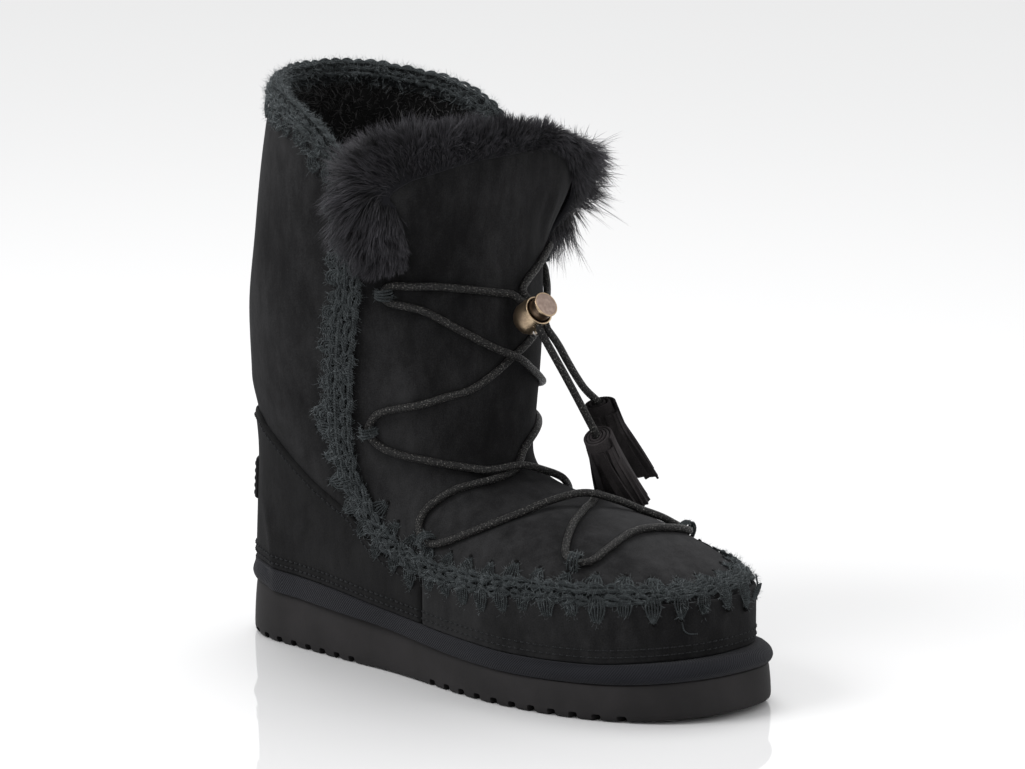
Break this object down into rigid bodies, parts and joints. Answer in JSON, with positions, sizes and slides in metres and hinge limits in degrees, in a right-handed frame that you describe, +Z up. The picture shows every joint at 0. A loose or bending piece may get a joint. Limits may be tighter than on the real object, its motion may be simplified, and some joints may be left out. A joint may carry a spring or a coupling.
{
  "type": "mukluk boot",
  "caption": "Mid-calf winter mukluk for the right foot: ribbed rubber sole, twill welt, suede upper, yarn seam, fur collar, leather lace, brass cord lock and tassels",
  "frame": {"origin": "on the floor under the middle of the heel", "axes": "+X to the toe, +Y to the inner side of the foot, +Z up"},
  "size_m": [0.2796, 0.1639, 0.2624],
  "materials": {
    "sole_rubber": "matt moulded rubber with transverse ribs",
    "welt_twill": "fine diagonal twill tape",
    "pile_lining": "short synthetic pile",
    "suede": "fine suede nap",
    "suede_overlay": "fine suede nap, double stitched",
    "yarn": "thick teal-grey crochet yarn",
    "fur": "long shaggy faux fur",
    "lace_leather": "round leather cord, semi-matt",
    "tassel_leather": "soft cut leather strips",
    "lock_brass": "antique brass with dark patina"
  },
  "bodies": {
    "boot": {"outsole": "sole_rubber", "welt": "welt_twill", "insole": "pile_lining", "upper": "suede", "heel_counter": "suede_overlay", "toe_wall": "suede_overlay", "heel_tab": "suede_overlay", "crochet_seam": "yarn", "collar_braid": "yarn", "fur_trim": "fur", "lace_crossings": "lace_leather", "lace_loop_1": "yarn", "lace_loop_2": "yarn", "lace_loop_3": "yarn", "lace_loop_4": "yarn", "lace_loop_5": "yarn", "lace_loop_6": "yarn", "lace_loop_7": "yarn", "lace_loop_8": "yarn", "lock_body": "lock_brass", "cord_end_front": "lace_leather", "cord_end_back": "lace_leather", "tassel_front": "tassel_leather", "tassel_back": "tassel_leather"},
    "button": {"lock_button": "lock_brass"}
  },
  "joints": [
    {"name": "button_press", "type": "slide", "parent": "boot", "child": "button", "axis": [0.8119, -0.057, 0.581], "range_m": [-0.003, 0], "stiffness_N_per_m": 400}
  ]
}
